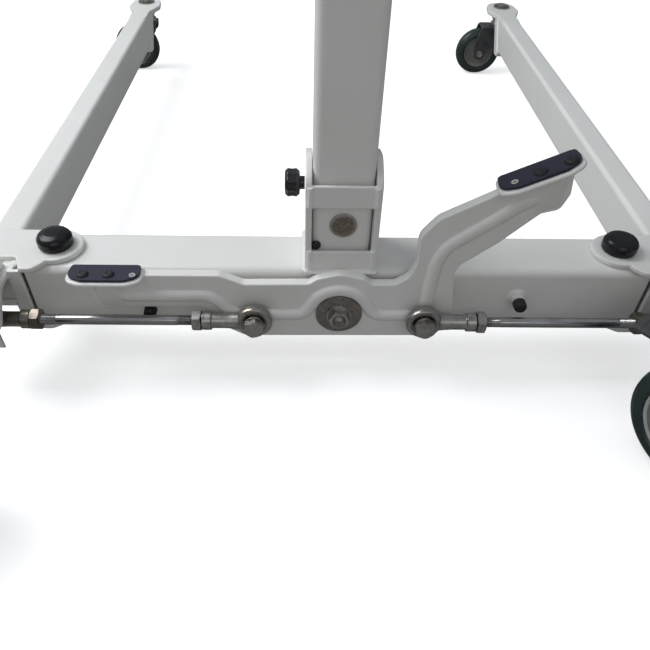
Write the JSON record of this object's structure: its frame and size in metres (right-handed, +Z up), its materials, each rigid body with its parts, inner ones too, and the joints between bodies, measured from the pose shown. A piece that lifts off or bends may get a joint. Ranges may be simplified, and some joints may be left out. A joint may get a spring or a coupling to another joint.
{
  "type": "patient lift hoist",
  "caption": "Mobile patient lift: pedal rocker and tie rods spread two pivoting legs on swivel casters, under a mast with a hydraulically raised boom and spreader bar.",
  "frame": {"origin": "on the floor, under the middle of the bounding box at rest", "axes": "+Z up, +Y towards the front ends of the legs, +X to the carer's right"},
  "size_m": [0.8152, 1.0822, 1.2941],
  "materials": {
    "ivory_paint": "satin powder coat with light orange peel",
    "zinc_plate": "zinc plated, slightly mottled",
    "bright_nickel": "bright plated, polished",
    "navy_rubber": "moulded, matte, dark navy black",
    "black_plastic": "moulded, glossy black",
    "grip_rubber": "ribbed soft grip, matte",
    "dark_steel": "dark grey pressed steel, satin",
    "tyre_green_black": "smooth hard tread, glossy dark green black",
    "brake_plastic": "moulded, ribbed, dark grey",
    "red_plastic": "moulded, satin red"
  },
  "bodies": {
    "base": {"cross_member": "ivory_paint", "stop_rubber_left": "navy_rubber", "stop_rubber_right": "navy_rubber", "mast_bracket": "ivory_paint", "mast_bolt": "zinc_plate", "mast_lock_knob": "black_plastic", "mast": "ivory_paint", "boom_pivot_pin": "zinc_plate", "pump_base_pin": "zinc_plate", "push_handle": "ivory_paint", "handle_grip_left": "grip_rubber", "handle_grip_right": "grip_rubber", "rocker_pivot_bolt": "zinc_plate", "leg_pivot_bolt_left": "zinc_plate", "leg_pivot_bolt_right": "zinc_plate", "pivot_cap_left": "black_plastic", "pivot_cap_right": "black_plastic"},
    "rocker": {"pedal_lever": "ivory_paint", "pedal_pad_left": "navy_rubber", "pedal_pad_right": "navy_rubber", "rod_end_bolt_left": "zinc_plate", "rod_end_bolt_right": "zinc_plate"},
    "tie_rod_assembly_left": {"tie_rod_left": "bright_nickel", "rod_end_inner_left": "zinc_plate", "rod_end_outer_left": "zinc_plate", "jam_nut_inner_left": "zinc_plate", "jam_nut_outer_left": "zinc_plate"},
    "leg_assembly_left": {"leg_left": "ivory_paint", "link_pin_left": "zinc_plate", "front_stem_left": "zinc_plate", "rear_stem_left": "zinc_plate"},
    "front_caster_left": {"front_fork_left": "dark_steel"},
    "front_wheel_body_left": {"front_wheel_left": "tyre_green_black"},
    "rear_caster_left": {"rear_fork_left": "dark_steel", "rear_axle_left": "zinc_plate"},
    "rear_wheel_body_left": {"rear_wheel_left": "tyre_green_black"},
    "brake_left": {"brake_pedal_left": "brake_plastic"},
    "tie_rod_assembly_right": {"tie_rod_right": "bright_nickel", "rod_end_inner_right": "zinc_plate", "rod_end_outer_right": "zinc_plate", "jam_nut_inner_right": "zinc_plate", "jam_nut_outer_right": "zinc_plate"},
    "leg_assembly_right": {"leg_right": "ivory_paint", "link_pin_right": "zinc_plate", "front_stem_right": "zinc_plate", "rear_stem_right": "zinc_plate"},
    "front_caster_right": {"front_fork_right": "dark_steel"},
    "front_wheel_body_right": {"front_wheel_right": "tyre_green_black"},
    "rear_caster_right": {"rear_fork_right": "dark_steel", "rear_axle_right": "zinc_plate"},
    "rear_wheel_body_right": {"rear_wheel_right": "tyre_green_black"},
    "brake_right": {"brake_pedal_right": "brake_plastic"},
    "boom_assembly": {"boom": "ivory_paint", "pump_top_pin": "zinc_plate"},
    "pump_cylinder": {"pump_body": "ivory_paint"},
    "pump_piston": {"pump_ram": "bright_nickel"},
    "pump_lever": {"pump_handle": "black_plastic"},
    "release_valve": {"release_knob": "red_plastic"},
    "hanger_link": {"hanger": "zinc_plate"},
    "spreader": {"spreader_bar": "ivory_paint"}
  },
  "joints": [
    {"name": "pedal_rock", "type": "hinge", "parent": "base", "child": "rocker", "pos_m": [0.0396, -0.2999, 0.081], "axis": [0, 1, 0], "range_deg": [0, 27]},
    {"name": "left_leg_swing", "type": "hinge", "parent": "base", "child": "leg_assembly_left", "pos_m": [-0.2354, -0.2599, 0.087], "axis": [0, 0, 1], "range_deg": [0, 11.13]},
    {"name": "right_leg_swing", "type": "hinge", "parent": "base", "child": "leg_assembly_right", "pos_m": [0.3146, -0.2599, 0.087], "axis": [0, 0, -1], "range_deg": [0, 11.13]},
    {"name": "left_tie_rod_tilt", "type": "hinge", "parent": "rocker", "child": "tie_rod_assembly_left", "pos_m": [-0.0421, -0.3164, 0.081], "axis": [-0.0132, -0.997, 0.0767], "range_deg": [0, 35.22]},
    {"name": "right_tie_rod_tilt", "type": "hinge", "parent": "rocker", "child": "tie_rod_assembly_right", "pos_m": [0.1213, -0.3164, 0.081], "axis": [0.0132, -0.997, -0.0767], "range_deg": [0, 35.22]},
    {"name": "front_left_swivel", "type": "hinge", "parent": "leg_assembly_left", "child": "front_caster_left", "pos_m": [-0.2954, 0.5141, 0.08], "axis": [0, 0, 1], "continuous": true},
    {"name": "front_left_wheel_spin", "type": "hinge", "parent": "front_caster_left", "child": "front_wheel_body_left", "pos_m": [-0.3254, 0.5141, 0.042], "axis": [0, 1, 0], "continuous": true},
    {"name": "front_right_swivel", "type": "hinge", "parent": "leg_assembly_right", "child": "front_caster_right", "pos_m": [0.3746, 0.5141, 0.08], "axis": [0, 0, 1], "continuous": true},
    {"name": "front_right_wheel_spin", "type": "hinge", "parent": "front_caster_right", "child": "front_wheel_body_right", "pos_m": [0.3446, 0.5141, 0.042], "axis": [0, 1, 0], "continuous": true},
    {"name": "rear_left_swivel", "type": "hinge", "parent": "leg_assembly_left", "child": "rear_caster_left", "pos_m": [-0.2884, -0.4649, 0.15], "axis": [0, 0, 1], "continuous": true},
    {"name": "rear_left_wheel_spin", "type": "hinge", "parent": "rear_caster_left", "child": "rear_wheel_body_left", "pos_m": [-0.32465, -0.4818, 0.0625], "axis": [0.4226, -0.9063, 0], "continuous": true},
    {"name": "left_brake_press", "type": "hinge", "parent": "rear_caster_left", "child": "brake_left", "pos_m": [-0.29384, -0.46744, 0.1325], "axis": [0.4226, -0.9063, 0], "range_deg": [0, 6]},
    {"name": "rear_right_swivel", "type": "hinge", "parent": "leg_assembly_right", "child": "rear_caster_right", "pos_m": [0.3676, -0.4649, 0.15], "axis": [0, 0, 1], "continuous": true},
    {"name": "rear_right_wheel_spin", "type": "hinge", "parent": "rear_caster_right", "child": "rear_wheel_body_right", "pos_m": [0.3476, -0.43026, 0.0625], "axis": [-0.866, -0.5, 0], "continuous": true},
    {"name": "right_brake_press", "type": "hinge", "parent": "rear_caster_right", "child": "brake_right", "pos_m": [0.3646, -0.4597, 0.1325], "axis": [-0.866, -0.5, 0], "range_deg": [0, 6]},
    {"name": "boom_lift", "type": "hinge", "parent": "base", "child": "boom_assembly", "pos_m": [0.0396, -0.2589, 1.12], "axis": [1, 0, 0], "range_deg": [-27, 18]},
    {"name": "pump_tilt", "type": "hinge", "parent": "base", "child": "pump_cylinder", "pos_m": [0.0396, -0.1899, 0.68544], "axis": [1, 0, 0], "range_deg": [-14, 9.5]},
    {"name": "ram_tilt", "type": "hinge", "parent": "boom_assembly", "child": "pump_piston", "pos_m": [0.0396, 0.17858, 1.16698], "axis": [1, 0, 0], "range_deg": [-9.5, 14]},
    {"name": "pump_handle_stroke", "type": "hinge", "parent": "pump_cylinder", "child": "pump_lever", "pos_m": [0.0856, -0.15465, 0.7315], "axis": [1, 0, 0], "range_deg": [0, 35]},
    {"name": "release_knob_turn", "type": "hinge", "parent": "pump_cylinder", "child": "release_valve", "pos_m": [0.0053, -0.15526, 0.73071], "axis": [1, 0, 0], "range_deg": [0, 90]},
    {"name": "hanger_level", "type": "hinge", "parent": "boom_assembly", "child": "hanger_link", "pos_m": [0.0396, 0.44537, 1.2697], "axis": [1, 0, 0], "range_deg": [-18.5, 27.5]},
    {"name": "spreader_swivel", "type": "hinge", "parent": "hanger_link", "child": "spreader", "pos_m": [0.0396, 0.44537, 1.1397], "axis": [0, 0, 1], "continuous": true}
  ],
  "couplings": [
    {"joint": "left_leg_swing", "follows": "pedal_rock", "ratio": 0.41196},
    {"joint": "right_leg_swing", "follows": "pedal_rock", "ratio": 0.41196},
    {"joint": "left_tie_rod_tilt", "follows": "pedal_rock", "ratio": 1.304},
    {"joint": "right_tie_rod_tilt", "follows": "pedal_rock", "ratio": 1.304},
    {"joint": "pump_tilt", "follows": "boom_lift", "ratio": 0.5},
    {"joint": "ram_tilt", "follows": "boom_lift", "ratio": -0.5},
    {"joint": "hanger_level", "follows": "boom_lift", "ratio": -1}
  ]
}
